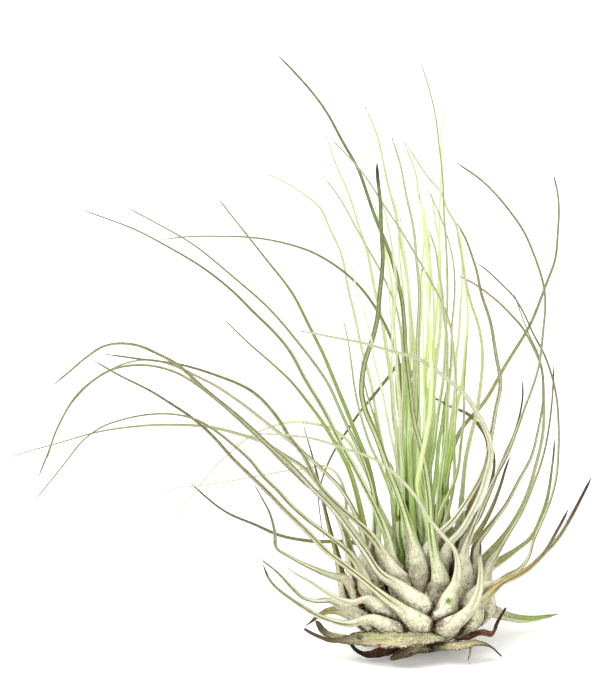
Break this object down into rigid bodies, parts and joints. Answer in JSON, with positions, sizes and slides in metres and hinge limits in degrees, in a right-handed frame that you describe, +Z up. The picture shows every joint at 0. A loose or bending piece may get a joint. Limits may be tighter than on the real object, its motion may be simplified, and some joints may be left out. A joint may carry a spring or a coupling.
{
  "type": "air plant",
  "caption": "Air plant standing on its own base: a bulb of overlapping scaly sheaths, each narrowing into a long thread-like channelled leaf.",
  "frame": {"origin": "middle of the stem's flat foot, on the surface that the plant stands on", "axes": "+Z up; the picture looks along +Y with +X to its right, so most leaves sweep to -X"},
  "size_m": [0.1569, 0.1687, 0.1652],
  "materials": {
    "brown": "matt withering brown-green leaf",
    "dark": "matt dark olive leaf",
    "dead": "dull dried leaf, grey-brown",
    "dead_dark": "dull dried leaf, dark red-brown",
    "green": "matt to satin green leaf",
    "lime": "satin bright green young leaf",
    "olive": "matt olive leaf with thin silver scales",
    "pale": "matt pale leaf washed with silver scales",
    "silver": "matt grey-green leaf under dense silver scales",
    "stem_bark": "rough dry fibrous stem"
  },
  "bodies": {
    "root": {"stem": "stem_bark", "leaf_01": "olive", "leaf_02": "silver", "leaf_03": "silver", "leaf_04": "pale", "leaf_05": "brown", "leaf_06": "olive", "leaf_07": "green", "leaf_08": "olive", "leaf_09": "green", "leaf_10": "olive", "leaf_11": "dark", "leaf_12": "pale", "leaf_13": "dark", "leaf_14": "brown", "leaf_15": "silver", "leaf_16": "pale", "leaf_17": "pale", "leaf_18": "olive", "leaf_19": "olive", "leaf_20": "silver", "leaf_21": "olive", "leaf_22": "green", "leaf_23": "pale", "leaf_24": "green", "leaf_25": "silver", "leaf_26": "olive", "leaf_27": "olive", "leaf_28": "silver", "leaf_29": "olive", "leaf_30": "green", "leaf_31": "silver", "leaf_32": "olive", "leaf_33": "brown", "leaf_34": "pale", "leaf_35": "pale", "leaf_36": "green", "leaf_37": "silver", "leaf_38": "green", "leaf_39": "green", "leaf_40": "pale", "leaf_41": "olive", "leaf_42": "pale", "leaf_43": "dark", "leaf_44": "green", "leaf_45": "silver", "leaf_46": "dark", "leaf_47": "dark", "dead_leaf_01": "dead", "dead_leaf_02": "dead", "dead_leaf_03": "dead", "dead_leaf_04": "dead_dark", "dead_leaf_05": "dead_dark", "dead_leaf_06": "dead", "dead_leaf_07": "dead_dark", "dead_leaf_08": "dead", "root": "dead", "heart_leaves_front": "lime", "heart_leaves_back": "green"}
  },
  "joints": []
}
